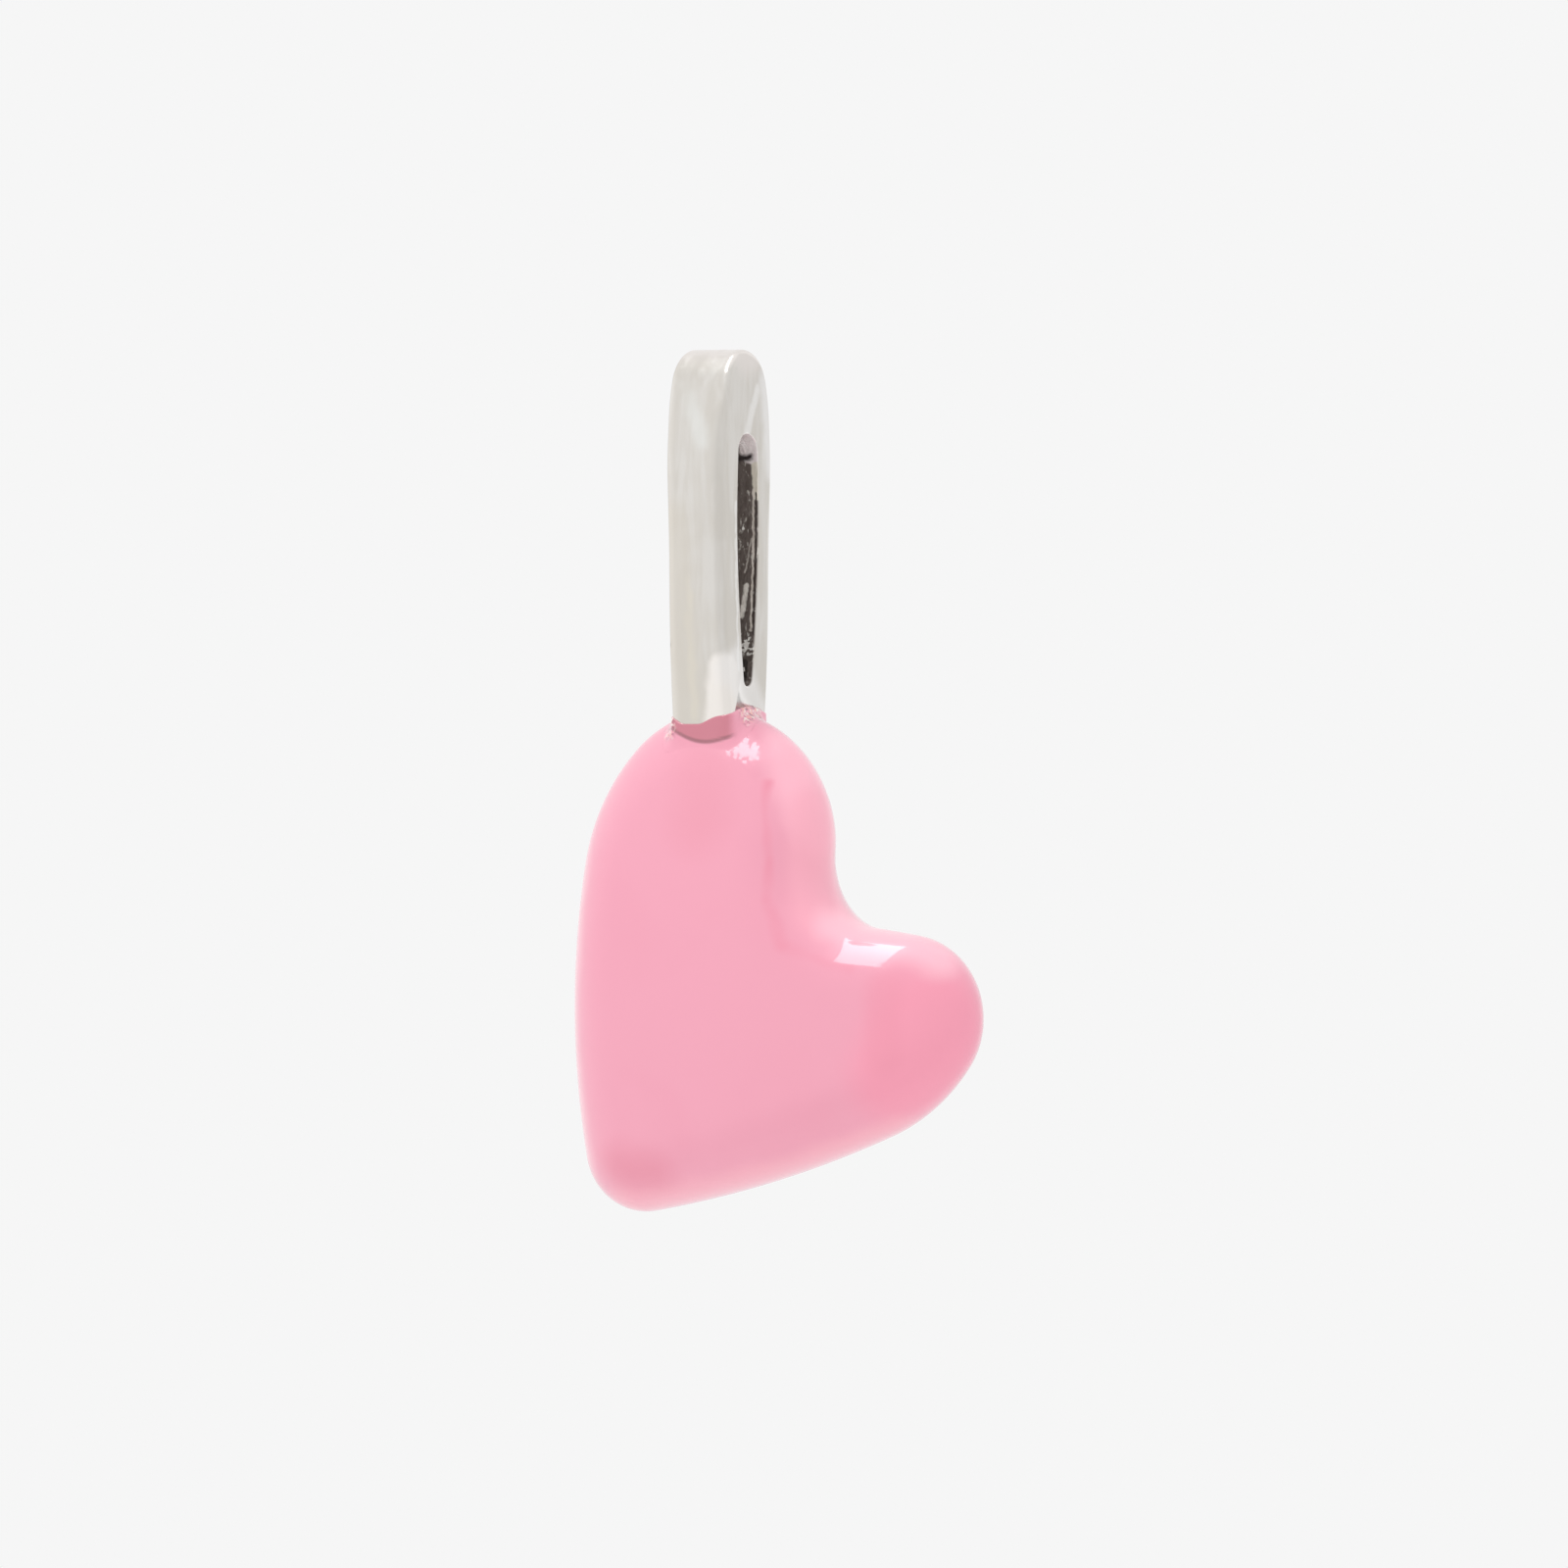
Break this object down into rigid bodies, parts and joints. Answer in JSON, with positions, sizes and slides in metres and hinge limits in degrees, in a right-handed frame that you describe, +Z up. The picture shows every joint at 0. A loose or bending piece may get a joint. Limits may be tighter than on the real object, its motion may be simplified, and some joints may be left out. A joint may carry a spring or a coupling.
{
  "type": "puffy heart pendant",
  "caption": "Small cast pendant: a polished metal bail with a tall narrow eye, grown out of the upper lobe of a leaning, puffy heart coated in glossy pink enamel. It hangs on a fine chain.",
  "frame": {"origin": "where the chain bears: the top of the bail's eye, at the middle of the band's width", "axes": "+Z up as the pendant hangs, front face towards -Y, the chain along X"},
  "size_m": [0.0132, 0.0044, 0.0251],
  "materials": {
    "polished_silver": "hand polished cast silver, bare",
    "pink_enamel": "glossy opaque enamel over cast silver"
  },
  "bodies": {
    "root": {"bail": "polished_silver", "heart": "pink_enamel"}
  },
  "joints": []
}
